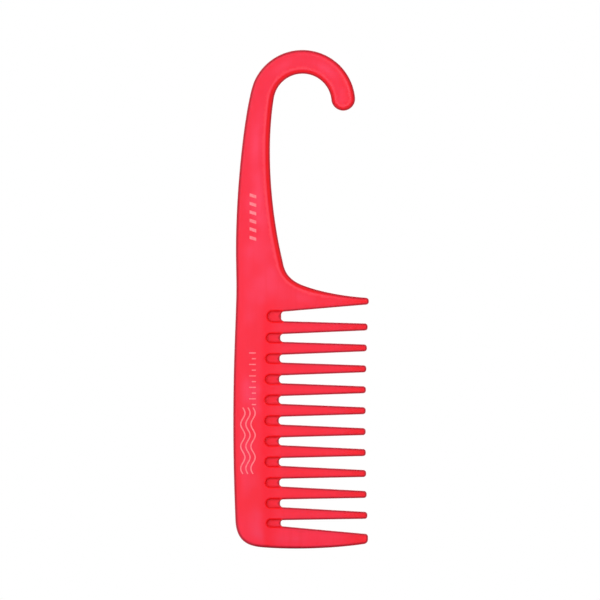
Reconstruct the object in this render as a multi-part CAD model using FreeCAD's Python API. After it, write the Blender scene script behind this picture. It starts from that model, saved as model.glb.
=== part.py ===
# Wide tooth comb with a hook handle, moulded in one piece of translucent plastic.
#
# Frame, in millimetres: origin at the centre of the hook's inner arc, where the axis of a rail
# that it hangs on would run.  +Z is up along the comb, +X points the way the teeth point, and
# the printed front face looks towards -Y.  The comb is flat, and alike in front and behind.
#
# The comb is one moulding.  Each solid below is one named region of it, and the regions meet
# face to face: hook, handle, shoulder, spine, root bar, two guard teeth, ten teeth, and the thin
# web that closes the root of each gap.  The printed marks are thin films of ink on the front.
import FreeCAD, Part
import math
import os

Y_AXIS = FreeCAD.Vector(0, 1, 0)

# Thickness
BODY_HALF = 2.5          # half thickness of hook, handle and spine
TIP_HALF = 1.1           # half thickness at the tips of the teeth
WEB_HALF = 0.7           # half thickness of the webs between the tooth roots
PRINT_THICK = 0.05       # ink film on the front face

# Edge rounding
BODY_EDGE_R = 1.2
TOOTH_EDGE_R = 0.7

# Hook
HOOK_INNER_R = 13.7
HOOK_OUTER_R = 24.85
HOOK_TIP_DEG = 5.6       # the hook's free end, measured about the origin from +X
HOOK_ROOT_DEG = 156.0    # where the hook becomes the handle
INNER_ARC_END_DEG = 171.0

# Handle and head, heights
HANDLE_FOOT_Z = -73.2
SHOULDER_FOOT_Z = -96.5

# Points where the outline's curves meet, and the outline's heading there in degrees from +X
HANDLE_INNER_FOOT = (-9.7, HANDLE_FOOT_Z)
HANDLE_INNER_DEG = -76.6
HANDLE_OUTER_FOOT = (-31.32, HANDLE_FOOT_Z)
HANDLE_OUTER_DEG = -89.3
NECK = (-0.9, -85.56)
NECK_DEG = -23.8
BACK_TOP = (-31.16, -90.0)
BACK_TOP_DEG = -91.0
BACK_FOOT = (-31.6, -196.5)
BACK_FOOT_DEG = -87.6
HEEL_FOOT = (-18.5, -209.4)
HEEL_FOOT_DEG = -4.5

# How far each curve reaches along its heading, at its start and at its end
HANDLE_INNER_REACH = (25.9, 20.0)
HANDLE_OUTER_REACH = (9.2, 34.4)
SHOULDER_INNER_REACH = (3.8, 8.6)
SHOULDER_OUTER_REACH = (6.0, 6.0)
GUARD_TOP_REACH = (4.2, 16.1)
BACK_REACH = (18.5, 56.0)
HEEL_REACH = (11.0, 6.0)
FOOT_REACH = (14.1, 14.8)

# The head bows: its back, crease, gap ends and tooth tips lie on arcs about one far axis
BOW_X = 1163.0
BOW_Z = -151.8
BOW_HALF_SWEEP_DEG = 4.0
CREASE_X = -21.4         # the faces are flat behind this arc and thin towards the tips
ROOT_X = -10.2           # where a tooth leaves the root bar
GAP_END_X = -11.2        # front edge of a web, at the middle of the head
TIP_X = 29.7
SHOULDER_CREASE_X = -13.2
SHOULDER_SLOPE = 0.014

# Teeth
TOOTH_COUNT = 10
ROOT_FIRST_Z = -105.9
ROOT_PITCH = 9.735
ROOT_HALF = 3.05
TIP_FIRST_Z = -105.6
TIP_PITCH = 9.86
TOOTH_TIP_HALF = 1.61
TOOTH_TIP_R = 1.3
WEB_FRONT_SAG = 0.85     # the web's front edge is hollow by this much
POCKET_END_X = -17.4     # where a web ends in the root bar, at the middle of the head

# Guard teeth, the heavier ones at each end of the row
TOP_GUARD_ROOT = (-9.1, -98.4)
TOP_GUARD_TIP = (31.2, -94.95)
TOP_GUARD_TOP_END = (29.9, -91.85)
TOP_GUARD_HEADING_DEG = -4.0
TOP_GUARD_CUT = (-6.3, -82.0)  # near here the cut between shoulder and guard leaves the outline
CUT_LEAN = 1.7           # above it the cut leans this far towards the tip
BOTTOM_GUARD_ROOT = (-9.1, -199.52)
BOTTOM_GUARD_TIP = (30.8, -203.15)
BOTTOM_GUARD_FOOT_END = (29.0, -207.8)
BOTTOM_GUARD_HEADING_DEG = 8.5
GUARD_TIP_R = 1.3

# Printed marks
STRAND_COUNT = 3
STRAND_WIDTH = 0.55
STRAND_SPACING = 2.4
STRAND_WAVE = 1.0
STRAND_WAVELENGTH = 10.4
STRAND_SAMPLES = 36
STRANDS_X = -25.7
STRANDS_TOP_Z = -143.6
STRANDS_LENGTH = 31.2
TICK_COUNT = 10
TICK_PITCH = 2.7
TICK_WIDTH = 0.5
TICK_LONG = 3.2
TICK_SHORT = 1.9
TICKS_X = -21.95
TICKS_TOP_Z = -117.6
BAR_COUNT = 6
BAR_PITCH = 4.0
BAR_WIDTH = 1.5
BAR_LEAN = 1.0
BAR_X = (-24.9, -21.8)
BARS_TOP_Z = -42.6

FAR = 60.0               # reach of cutting solids past the comb
LIFT = 2.0               # reach of cutting solids past its faces
TOUCH = 0.001            # nearer than this counts as lying on the outline


def point(x, z, y=0.0):
    return FreeCAD.Vector(x, y, z)


def polar(radius, degrees):
    angle = math.radians(degrees)
    return point(radius * math.cos(angle), radius * math.sin(angle))


def line(a, b):
    return Part.LineSegment(a, b).toShape()


def arc(a, middle, b):
    return Part.Arc(a, middle, b).toShape()


def curve(start, start_deg, end, end_deg, reach):
    """Cubic curve that leaves start and arrives at end on the given headings."""
    poles = [start, start + polar(reach[0], start_deg), end - polar(reach[1], end_deg), end]
    bezier = Part.BezierCurve()
    bezier.setPoles(poles)
    return bezier.toShape()


def bow(x, z):
    """The point at height z on the arc that passes x at the middle of the head."""
    radius = BOW_X - x
    return point(BOW_X - math.sqrt(radius ** 2 - (z - BOW_Z) ** 2), z)


def bow_arc(x, z_from, z_to):
    return arc(bow(x, z_from), bow(x, (z_from + z_to) / 2), bow(x, z_to))


def plate(edges, half=BODY_HALF):
    """Solid between y = -half and +half over a closed outline."""
    wire = Part.Wire(Part.sortEdges(edges)[0])
    face = Part.Face(wire)
    face.translate(Y_AXIS * -half)
    return face.extrude(Y_AXIS * 2 * half)


def rounded_outline(corners):
    """Edges of a polygon of (point, radius) corners, each rounded by a tangent arc."""
    starts = []
    ends = []
    edges = []
    for index, (corner, radius) in enumerate(corners):
        before = (corners[index - 1][0] - corner).normalize()
        after = (corners[(index + 1) % len(corners)][0] - corner).normalize()
        half_angle = before.getAngle(after) / 2
        reach = radius / math.tan(half_angle)
        starts.append(corner + before * reach)
        ends.append(corner + after * reach)
        if radius > 0:
            inward = (before + after).normalize()
            middle = corner + inward * (radius / math.sin(half_angle) - radius)
            edges.append(arc(starts[-1], middle, ends[-1]))
    for index, end in enumerate(ends):
        edges.append(line(end, starts[(index + 1) % len(starts)]))
    return edges


def cell(corners):
    """Solid that stands past both faces over a polygon."""
    outline = [(point(x, z), radius) for x, z, radius in corners]
    return plate(rounded_outline(outline), BODY_HALF + LIFT)


def both_faces(cutter):
    return [cutter, cutter.mirror(FreeCAD.Vector(0, 0, 0), Y_AXIS)]


def taper_section(z, crease_x, slope):
    """Outline above the tapered face in the plane at height z."""
    back = crease_x - FAR / 2
    front = FAR
    corners = [
        point(back, z, BODY_HALF + slope * (crease_x - back)),
        point(front, z, BODY_HALF - slope * (front - crease_x)),
        point(front, z, BODY_HALF + LIFT),
        point(back, z, BODY_HALF + LIFT),
    ]
    return Part.makePolygon(corners + corners[:1])


HEAD_SLOPE = (BODY_HALF - TIP_HALF) / (TIP_X - CREASE_X)


def head_taper():
    """What is cut from each face in front of the crease, along the bow."""
    face = Part.Face(taper_section(BOW_Z, CREASE_X, HEAD_SLOPE))
    centre = point(BOW_X, BOW_Z)
    face.rotate(centre, Y_AXIS, -BOW_HALF_SWEEP_DEG)
    return both_faces(face.revolve(centre, Y_AXIS, 2 * BOW_HALF_SWEEP_DEG))


def shoulder_taper():
    """What is cut from each face of the shoulder and the top guard: the taper runs out upwards."""
    foot_z = slot_centre(1)
    sections = [
        taper_section(HANDLE_FOOT_Z, SHOULDER_CREASE_X, SHOULDER_SLOPE),
        taper_section(foot_z, bow(CREASE_X, foot_z).x, HEAD_SLOPE),
    ]
    return both_faces(Part.makeLoft(sections, True, True))


def tooth_centre(number, first_z, pitch):
    return first_z - (number - 1) * pitch


def slot_walls(number):
    """Heights of the upper and lower walls of a gap at its root."""
    upper = tooth_centre(number - 1, ROOT_FIRST_Z, ROOT_PITCH) - ROOT_HALF
    lower = tooth_centre(number, ROOT_FIRST_Z, ROOT_PITCH) + ROOT_HALF
    if number == 1:
        upper = TOP_GUARD_ROOT[1]
    if number == TOOTH_COUNT + 1:
        lower = BOTTOM_GUARD_ROOT[1]
    return upper, lower


def slot_centre(number):
    upper, lower = slot_walls(number)
    return (upper + lower) / 2


def pocket_end(number):
    """Edges of the three closed sides of a gap's root, and the ends of its two walls."""
    upper, lower = slot_walls(number)
    centre_z = slot_centre(number)
    half = (upper - lower) / 2
    left_x = bow(POCKET_END_X, centre_z).x
    turn_x = left_x + half
    top = point(turn_x, upper)
    bottom = point(turn_x, lower)
    return arc(top, point(left_x, centre_z), bottom), top, bottom


def pocket(number):
    """Solid cut right through the root bar for one gap's root."""
    end, top, bottom = pocket_end(number)
    top_front = point(ROOT_X + LIFT, top.z)
    bottom_front = point(ROOT_X + LIFT, bottom.z)
    edges = [end, line(top, top_front), line(top_front, bottom_front), line(bottom_front, bottom)]
    return plate(edges, BODY_HALF + LIFT)


def outline_edges(solid, outline):
    """Edges where a face of the comb meets a wall that stands on the comb's own outline."""
    chosen = []
    for edge in solid.Edges:
        middle = edge.valueAt((edge.FirstParameter + edge.LastParameter) / 2)
        tangent = edge.tangentAt((edge.FirstParameter + edge.LastParameter) / 2)
        on_outline = outline.distToShape(Part.Vertex(middle.x, 0, middle.z))[0] < TOUCH
        across_thickness = abs(tangent.y) > 0.5
        if on_outline and not across_thickness:
            chosen.append(edge)
    return chosen


def soften(solid, outline_parts, radius):
    """Round the edges of a region that lie on the comb's own outline."""
    outline = Part.Compound(outline_parts)
    return solid.makeFillet(radius, outline_edges(solid, outline))


# Curves of the outline, each a named edge, so that neighbouring regions share them exactly
hook_outer = arc(polar(HOOK_OUTER_R, HOOK_ROOT_DEG), polar(HOOK_OUTER_R, 90),
                 polar(HOOK_OUTER_R, HOOK_TIP_DEG))
hook_inner = arc(polar(HOOK_INNER_R, HOOK_ROOT_DEG), polar(HOOK_INNER_R, 90),
                 polar(HOOK_INNER_R, HOOK_TIP_DEG))
hook_end_centre = polar((HOOK_INNER_R + HOOK_OUTER_R) / 2, HOOK_TIP_DEG)
hook_end_r = (HOOK_OUTER_R - HOOK_INNER_R) / 2
hook_end = arc(polar(HOOK_OUTER_R, HOOK_TIP_DEG),
               hook_end_centre + polar(hook_end_r, HOOK_TIP_DEG - 90),
               polar(HOOK_INNER_R, HOOK_TIP_DEG))
throat = arc(polar(HOOK_INNER_R, HOOK_ROOT_DEG),
             polar(HOOK_INNER_R, (HOOK_ROOT_DEG + INNER_ARC_END_DEG) / 2),
             polar(HOOK_INNER_R, INNER_ARC_END_DEG))

handle_inner_foot = point(*HANDLE_INNER_FOOT)
handle_outer_foot = point(*HANDLE_OUTER_FOOT)
back_top = point(*BACK_TOP)
back_foot = point(*BACK_FOOT)
heel_foot = point(*HEEL_FOOT)
neck = point(*NECK)
top_guard_end = point(*TOP_GUARD_TOP_END)
bottom_guard_end = point(*BOTTOM_GUARD_FOOT_END)

handle_inner = curve(polar(HOOK_INNER_R, INNER_ARC_END_DEG), INNER_ARC_END_DEG + 90,
                     handle_inner_foot, HANDLE_INNER_DEG, HANDLE_INNER_REACH)
handle_outer = curve(polar(HOOK_OUTER_R, HOOK_ROOT_DEG), HOOK_ROOT_DEG + 90,
                     handle_outer_foot, HANDLE_OUTER_DEG, HANDLE_OUTER_REACH)
shoulder_inner = curve(handle_inner_foot, HANDLE_INNER_DEG, neck, NECK_DEG, SHOULDER_INNER_REACH)
shoulder_outer = curve(handle_outer_foot, HANDLE_OUTER_DEG, back_top, BACK_TOP_DEG,
                       SHOULDER_OUTER_REACH)
guard_top = curve(neck, NECK_DEG, top_guard_end, TOP_GUARD_HEADING_DEG, GUARD_TOP_REACH)
back = curve(back_top, BACK_TOP_DEG, back_foot, BACK_FOOT_DEG, BACK_REACH)
heel = curve(back_foot, BACK_FOOT_DEG, heel_foot, HEEL_FOOT_DEG, HEEL_REACH)
foot = curve(heel_foot, HEEL_FOOT_DEG, bottom_guard_end, BOTTOM_GUARD_HEADING_DEG, FOOT_REACH)


def make_hook():
    root = line(polar(HOOK_INNER_R, HOOK_ROOT_DEG), polar(HOOK_OUTER_R, HOOK_ROOT_DEG))
    solid = plate([hook_outer, hook_end, hook_inner, root])
    return soften(solid, [hook_outer, hook_end, hook_inner], BODY_EDGE_R)


def make_handle():
    top = line(polar(HOOK_INNER_R, HOOK_ROOT_DEG), polar(HOOK_OUTER_R, HOOK_ROOT_DEG))
    base = line(handle_inner_foot, handle_outer_foot)
    solid = plate([top, throat, handle_inner, base, handle_outer])
    return soften(solid, [throat, handle_inner, handle_outer], BODY_EDGE_R)


def tip_round(end, heading_deg, tip_x, turn):
    """Arc from a guard's long edge to its tip, turning left (1) or right (-1), and its end."""
    radius = (tip_x - end.x) / (1 - turn * math.sin(math.radians(heading_deg)))
    centre = end + polar(radius, heading_deg + 90 * turn)
    tip = centre + polar(radius, 0)
    middle = centre + polar(radius, (heading_deg - 90 * turn) / 2)
    return arc(end, middle, tip), tip


def tip_outline():
    """Edges of the head in front of the teeth, from the top guard's end to the bottom guard's.

    The step between the two tips lies in the tooth row, where no region keeps it.
    """
    top_x = TOP_GUARD_TIP[0]
    bottom_x = BOTTOM_GUARD_TIP[0]
    top_round, top_flat = tip_round(top_guard_end, TOP_GUARD_HEADING_DEG, top_x, -1)
    bottom_round, bottom_flat = tip_round(bottom_guard_end, BOTTOM_GUARD_HEADING_DEG, bottom_x, 1)
    return [
        top_round,
        line(top_flat, point(top_x, BOW_Z)),
        line(point(top_x, BOW_Z), point(bottom_x, BOW_Z)),
        line(point(bottom_x, BOW_Z), bottom_flat),
        bottom_round,
    ]


def make_head():
    """The whole head with its tooth row still solid, which the cells below divide."""
    top = line(handle_inner_foot, handle_outer_foot)
    edges = [top, shoulder_inner, guard_top, foot, heel, back, shoulder_outer]
    return plate(edges + tip_outline())


def make_shoulder(head):
    root = bow(ROOT_X, SHOULDER_FOOT_Z)
    region = cell([
        (-FAR, HANDLE_FOOT_Z + LIFT, 0),
        (TOP_GUARD_CUT[0] + CUT_LEAN, HANDLE_FOOT_Z + LIFT, 0),
        (TOP_GUARD_CUT[0], TOP_GUARD_CUT[1], 0),
        (root.x, root.z, 0),
        (-FAR, SHOULDER_FOOT_Z, 0),
    ])
    solid = head.common(region).cut(shoulder_taper())
    return soften(solid, [shoulder_inner, shoulder_outer, back], BODY_EDGE_R)


def guard_gap_side(root, tip, towards_tip_z):
    """Edges of a guard tooth along its gap: from the root, round the tip corner, up the tip."""
    corners = [(point(*root), 0), (point(*tip), GUARD_TIP_R), (point(tip[0], tip[1] + towards_tip_z), 0)]
    return rounded_outline(corners)[:-1]


def make_top_guard(head):
    root = bow(ROOT_X, SHOULDER_FOOT_Z)
    base = bow(ROOT_X, TOP_GUARD_ROOT[1])
    tip_x, tip_z = TOP_GUARD_TIP
    region = cell([
        (TOP_GUARD_CUT[0] + CUT_LEAN, HANDLE_FOOT_Z + LIFT, 0),
        (FAR, HANDLE_FOOT_Z + LIFT, 0),
        (FAR, tip_z + LIFT, 0),
        (tip_x, tip_z + LIFT, 0),
        (tip_x, tip_z, GUARD_TIP_R),
        (base.x, base.z, 0),
        (root.x, root.z, 0),
        (TOP_GUARD_CUT[0], TOP_GUARD_CUT[1], 0),
    ])
    solid = head.common(region).cut(shoulder_taper())
    gap_side = guard_gap_side((base.x, base.z), TOP_GUARD_TIP, LIFT)
    return soften(solid, [shoulder_inner, guard_top] + tip_outline() + gap_side, TOOTH_EDGE_R)


def make_bottom_guard(head):
    base = bow(ROOT_X, BOTTOM_GUARD_ROOT[1])
    foot_root = bow(ROOT_X, BOW_Z - FAR)
    tip_x, tip_z = BOTTOM_GUARD_TIP
    region = cell([
        (base.x, base.z, 0),
        (tip_x, tip_z, GUARD_TIP_R),
        (tip_x, tip_z - LIFT, 0),
        (FAR, tip_z - LIFT, 0),
        (FAR, foot_root.z, 0),
        (foot_root.x, foot_root.z, 0),
    ])
    solid = head.common(region).cut(head_taper())
    gap_side = guard_gap_side((base.x, base.z), BOTTOM_GUARD_TIP, -LIFT)
    return soften(solid, [foot] + tip_outline() + gap_side, TOOTH_EDGE_R)


def make_spine(head):
    foot_z = BOW_Z - FAR
    crease_top = bow(CREASE_X, SHOULDER_FOOT_Z)
    crease_foot = bow(CREASE_X, foot_z)
    edges = [
        line(point(-FAR, SHOULDER_FOOT_Z), crease_top),
        bow_arc(CREASE_X, SHOULDER_FOOT_Z, foot_z),
        line(crease_foot, point(-FAR, foot_z)),
        line(point(-FAR, foot_z), point(-FAR, SHOULDER_FOOT_Z)),
    ]
    solid = head.common(plate(edges, BODY_HALF + LIFT))
    return soften(solid, [back, heel, foot], BODY_EDGE_R)


def make_root_bar(head):
    foot_z = BOW_Z - FAR
    edges = [
        line(bow(CREASE_X, SHOULDER_FOOT_Z), bow(ROOT_X, SHOULDER_FOOT_Z)),
        bow_arc(ROOT_X, SHOULDER_FOOT_Z, foot_z),
        line(bow(ROOT_X, foot_z), bow(CREASE_X, foot_z)),
        bow_arc(CREASE_X, SHOULDER_FOOT_Z, foot_z),
    ]
    solid = head.common(plate(edges, BODY_HALF + LIFT))
    numbers = range(1, TOOTH_COUNT + 2)
    solid = solid.cut([pocket(number) for number in numbers] + head_taper())
    solid = soften(solid, [foot], BODY_EDGE_R)
    walls = []
    for number in numbers:
        end, top, bottom = pocket_end(number)
        walls.append(end)
        walls.append(line(top, point(ROOT_X + LIFT, top.z)))
        walls.append(line(bottom, point(ROOT_X + LIFT, bottom.z)))
    return soften(solid, walls, TOOTH_EDGE_R)


def make_tooth(number):
    root_z = tooth_centre(number, ROOT_FIRST_Z, ROOT_PITCH)
    tip_z = tooth_centre(number, TIP_FIRST_Z, TIP_PITCH)
    corners = [
        (bow(ROOT_X, root_z + ROOT_HALF), 0),
        (bow(TIP_X, tip_z + TOOTH_TIP_HALF), TOOTH_TIP_R),
        (bow(TIP_X, tip_z - TOOTH_TIP_HALF), TOOTH_TIP_R),
        (bow(ROOT_X, root_z - ROOT_HALF), 0),
    ]
    free_edges = rounded_outline(corners)[:-1]
    root = bow_arc(ROOT_X, root_z + ROOT_HALF, root_z - ROOT_HALF)
    solid = plate(free_edges + [root]).cut(head_taper())
    return soften(solid, free_edges, TOOTH_EDGE_R)


def make_web(number):
    """Thin floor of a pocket, set midway between the faces, with a hollow front edge."""
    end, top, bottom = pocket_end(number)
    front_top = bow(GAP_END_X + WEB_FRONT_SAG, top.z)
    front_middle = bow(GAP_END_X, (top.z + bottom.z) / 2)
    front_bottom = bow(GAP_END_X + WEB_FRONT_SAG, bottom.z)
    edges = [
        end,
        line(top, front_top),
        arc(front_top, front_middle, front_bottom),
        line(front_bottom, bottom),
    ]
    return plate(edges, WEB_HALF)


def ink(edges):
    """Ink film over a closed outline on the front face."""
    film = plate(edges, PRINT_THICK / 2)
    film.translate(Y_AXIS * -(BODY_HALF + PRINT_THICK / 2))
    return film


def strand(centre_x):
    """Wavy ribbon of even width that runs down the spine."""
    sides = ([], [])
    for index in range(STRAND_SAMPLES + 1):
        drop = STRANDS_LENGTH * index / STRAND_SAMPLES
        phase = 2 * math.pi * drop / STRAND_WAVELENGTH
        x = centre_x + STRAND_WAVE * math.sin(phase)
        lean = STRAND_WAVE * math.cos(phase) * 2 * math.pi / STRAND_WAVELENGTH
        across = point(1, lean).normalize() * (STRAND_WIDTH / 2)
        middle = point(x, STRANDS_TOP_Z - drop)
        sides[0].append(middle - across)
        sides[1].append(middle + across)
    edges = []
    for side in sides:
        spline = Part.BSplineCurve()
        spline.interpolate(side)
        edges.append(spline.toShape())
    return edges + [line(sides[0][0], sides[1][0]), line(sides[0][-1], sides[1][-1])]


def make_strands():
    middle = (STRAND_COUNT - 1) / 2
    return [ink(strand(STRANDS_X + (index - middle) * STRAND_SPACING)) for index in range(STRAND_COUNT)]


def four_sided(corners):
    return Part.makePolygon(corners + corners[:1]).Edges


def make_ticks():
    films = []
    for index in range(TICK_COUNT):
        z = TICKS_TOP_Z - index * TICK_PITCH
        length = TICK_LONG if index % 2 == 0 else TICK_SHORT
        corners = [
            point(TICKS_X, z),
            point(TICKS_X - length, z),
            point(TICKS_X - length, z - TICK_WIDTH),
            point(TICKS_X, z - TICK_WIDTH),
        ]
        films.append(ink(four_sided(corners)))
    return films


def make_bars():
    films = []
    for index in range(BAR_COUNT):
        z = BARS_TOP_Z - index * BAR_PITCH
        corners = [
            point(BAR_X[0], z),
            point(BAR_X[1], z - BAR_LEAN),
            point(BAR_X[1], z - BAR_LEAN - BAR_WIDTH),
            point(BAR_X[0], z - BAR_WIDTH),
        ]
        films.append(ink(four_sided(corners)))
    return films


def make_comb():
    head = make_head()
    nodes = {
        "hook": make_hook(),
        "handle": make_handle(),
        "shoulder": make_shoulder(head),
        "spine": make_spine(head),
        "root_bar": make_root_bar(head),
        "guard_tooth_top": make_top_guard(head),
        "guard_tooth_bottom": make_bottom_guard(head),
    }
    for number in range(1, TOOTH_COUNT + 1):
        nodes[f"tooth_{number:02d}"] = make_tooth(number)
    for number in range(1, TOOTH_COUNT + 2):
        nodes[f"root_web_{number:02d}"] = make_web(number)
    nodes["handle_print_bars"] = Part.Compound(make_bars())
    nodes["spine_print_ticks"] = Part.Compound(make_ticks())
    nodes["spine_print_strands"] = Part.Compound(make_strands())
    return nodes


os.makedirs("parts", exist_ok=True)
for name, shape in make_comb().items():
    print(name, shape.isValid(), len(shape.Solids), round(shape.Volume, 1))
    shape.exportStep(f"parts/{name}.step")
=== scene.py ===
# The looks of a wide tooth comb with a hook handle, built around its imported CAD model.
# Outlines are worked out in millimetres in the frame's own axes, and meshes are made in metres.
import math

import bpy
import numpy as np
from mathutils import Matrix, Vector
from mathutils.geometry import delaunay_2d_cdt


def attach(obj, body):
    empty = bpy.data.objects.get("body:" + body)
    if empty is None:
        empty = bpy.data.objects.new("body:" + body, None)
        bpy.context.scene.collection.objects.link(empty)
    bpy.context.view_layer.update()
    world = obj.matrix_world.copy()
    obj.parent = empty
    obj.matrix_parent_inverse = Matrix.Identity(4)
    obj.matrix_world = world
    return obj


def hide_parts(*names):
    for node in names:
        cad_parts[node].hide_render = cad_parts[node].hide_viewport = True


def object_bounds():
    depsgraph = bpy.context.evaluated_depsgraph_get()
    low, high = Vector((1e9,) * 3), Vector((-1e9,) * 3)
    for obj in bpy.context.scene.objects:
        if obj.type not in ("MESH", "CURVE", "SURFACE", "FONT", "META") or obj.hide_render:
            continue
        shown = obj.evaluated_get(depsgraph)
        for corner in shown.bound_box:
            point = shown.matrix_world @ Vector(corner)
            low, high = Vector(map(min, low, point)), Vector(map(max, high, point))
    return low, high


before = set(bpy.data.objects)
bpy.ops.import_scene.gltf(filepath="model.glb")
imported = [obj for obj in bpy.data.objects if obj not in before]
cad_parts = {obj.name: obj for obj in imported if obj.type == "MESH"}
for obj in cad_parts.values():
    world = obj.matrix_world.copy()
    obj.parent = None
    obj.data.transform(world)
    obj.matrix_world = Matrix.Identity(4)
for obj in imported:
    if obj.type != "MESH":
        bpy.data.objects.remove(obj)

cad_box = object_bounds()

MM = 0.001

# Thickness
BODY_HALF = 2.5
TIP_HALF = 1.1
WEB_HALF = 0.7

# Hook
HOOK_INNER_R = 13.7
HOOK_OUTER_R = 24.85
HOOK_TIP_DEG = 5.6
HOOK_ROOT_DEG = 156.0
INNER_ARC_END_DEG = 171.0

# Points where the outline's curves meet, and the outline's heading there in degrees from +X
HANDLE_INNER_FOOT = (-9.7, -73.2)
HANDLE_INNER_DEG = -76.6
HANDLE_OUTER_FOOT = (-31.32, -73.2)
HANDLE_OUTER_DEG = -89.3
NECK = (-0.9, -85.56)
NECK_DEG = -23.8
BACK_TOP = (-31.16, -90.0)
BACK_TOP_DEG = -91.0
BACK_FOOT = (-31.6, -196.5)
BACK_FOOT_DEG = -87.6
HEEL_FOOT = (-18.5, -209.4)
HEEL_FOOT_DEG = -4.5

# How far each curve reaches along its heading, at its start and at its end
HANDLE_INNER_REACH = (25.9, 20.0)
HANDLE_OUTER_REACH = (9.2, 34.4)
SHOULDER_INNER_REACH = (3.8, 8.6)
SHOULDER_OUTER_REACH = (6.0, 6.0)
GUARD_TOP_REACH = (4.2, 16.1)
BACK_REACH = (18.5, 56.0)
HEEL_REACH = (11.0, 6.0)
FOOT_REACH = (14.1, 14.8)

# The head's bow: its back, crease, gap ends and tips lie on arcs about one far axis
BOW_X = 1163.0
BOW_Z = -151.8
CREASE_X = -21.4
CREASE_SOFTNESS = 1.5
ROOT_X = -10.2
GAP_END_X = -11.2
POCKET_END_X = -17.4
TIP_X = 29.7
TOOTH_COUNT = 10
TIP_CORNER_R = 1.3
GAP_CORNER_R = 1.5
GAP_CORNER_SHARE = 0.4   # a web's front corner takes at most this share of its gap

# Guard teeth
TOP_GUARD_ROOT = (-9.1, -98.4)
TOP_GUARD_TIP = (31.2, -94.95)
TOP_GUARD_END = (29.9, -91.85)
TOP_GUARD_DEG = -4.0
BOTTOM_GUARD_ROOT = (-9.1, -199.52)
BOTTOM_GUARD_TIP = (30.8, -203.15)
BOTTOM_GUARD_END = (29.0, -207.8)
BOTTOM_GUARD_DEG = 8.5

# Edge shapes: the width and depth that an edge takes off a face, and its share of bevel, from a
# plain quarter round (0) to a flat bevel with a crisp rim (1)
BACK_EDGE = (1.4, 1.3, 0.0)
INNER_EDGE = (2.5, 1.25, 1.0)
SHOULDER_EDGE = (2.1, 1.2, 1.0)
TOOTH_EDGE = (0.75, 0.75, 0.0)
GUARD_TIP_EDGE = (1.0, 0.8, 0.3)
HOOK_TIP_EDGE = (1.9, 1.2, 0.8)
DEPTH_LIMIT = 0.66       # an edge takes at most this share of the half thickness
BEVEL_POWER = 1.3        # how a bevel's rings spread over its width
BEVEL_FALL = 0.82        # share of a bevel's depth on its flat, the rest is its crisp rim
RIM_FALL_POWER = 6
WEB_EDGE = 0.28
ROUND_MIDDLE = 0.3       # inward share of a small round at its middle
WEB_EDGE_LIMIT = 0.5     # a web's edge and rim take at most these shares of the room beside them
WEB_RIM_LIMIT = 0.8
SHARP_DEG = 40
EDGE_RINGS = 7
HOLD_WIDTH = 0.14        # width of the last ring, which keeps the face flat up to the edge
WALL_DRAFT = 0.06        # how far a wall leans inwards
POCKET_FLARE = 0.26      # how much further a pocket's wall leans, away from its ends
FLARE_RUN = 2.0
PARTING_RIDGE = 0.035
PARTING_HEIGHT = 0.09
SAME_POINT = 0.02        # stations nearer than this are one
TIP_FLAT = 4.0           # a guard's tip is taken to run straight this far, to round its corner

# Widths and strengths of the painted shade at rims: a darker crimson outline that stands partly for shade
# at the edges and partly for deeper dye there
RIM_INNER = 0.45
RIM_BODY = 1.55
RIM_TOOTH = 1.1
RIM_BEVEL_CUT = 0.4      # a bevelled edge has a painted rim shade narrower by this share
RIM_FLARE_SHARE = 0.6    # share of a pocket's flare that doesn't count towards its painted rim shade
WEB_RIM = 1.6
WEB_RIM_SHADE_MIDDLE = 0.7
WALL_RIM_SHADE = 0.55
BEVEL_SHADE_GAIN = 3            # how fast the bevel's painted shade comes in from the crest
CREST_HIGHLIGHT_BAND = -0.6        # marks the crest, where a bevel meets the face, for a painted highlight line

# Surface form
CROWN_WIDTH = 6.0
CROWN_DEPTH = 0.2
CORE_FROM = 1.5          # the mottled core of the plastic starts this far inside the outline
CORE_DEPTH = 6.5         # and is full this far inside
RUN_OUT_TOP_Z = -62.0
RUN_OUT_FOOT_Z = -100.0
RUN_OUT_SHIFT = 8.0

# Printed marks
STRAND_COUNT = 3
STRAND_WIDTH = 0.55
STRAND_SPACING = 2.4
STRAND_WAVE = 1.0
STRAND_WAVELENGTH = 10.4
STRAND_STEPS = 90
STRANDS_X = -25.7
STRANDS_TOP_Z = -143.6
STRANDS_LENGTH = 31.2
TICK_COUNT = 10
TICK_PITCH = 2.7
TICK_WIDTH = 0.5
TICK_LONG = 3.2
TICK_SHORT = 1.9
TICKS_X = -21.95
TICKS_TOP_Z = -117.6
BAR_COUNT = 6
BAR_PITCH = 4.0
BAR_WIDTH = 1.5
BAR_LEAN = 1.0
BAR_X = (-24.9, -21.8)
BARS_TOP_Z = -42.6
MARK_STEPS = 9
PRINT_LIFT = 0.03        # how far the ink stands out of the face
PRINT_SINK = 0.04        # and how far it reaches into it

# Colours, linear
FACE_HIGH = (0.718, 0.022, 0.052, 1.0)
FACE_LOW = (0.750, 0.020, 0.042, 1.0)
FACE_FOOT = (0.765, 0.026, 0.062, 1.0)
FACE_CORE = (0.745, 0.042, 0.092, 1.0)
FACE_FLOW = (0.695, 0.017, 0.037, 1.0)
# painted shade in a band in front of the face's crease
CREASE_SHADE_RED = (0.755, 0.009, 0.026, 1.0)
TIP_RED = (0.745, 0.009, 0.014, 1.0)
# painted shade on the bevels, which face away from the key lamp
BEVEL_SHADE_RED = (0.665, 0.0008, 0.004, 1.0)
# painted highlight along the crest of a bevel
CREST_HIGHLIGHT_PINK = (0.800, 0.045, 0.075, 1.0)
# painted shade at rims, partly deeper dye at the edge
RIM_SHADE_CRIMSON = (0.340, 0.006, 0.018, 1.0)
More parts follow.
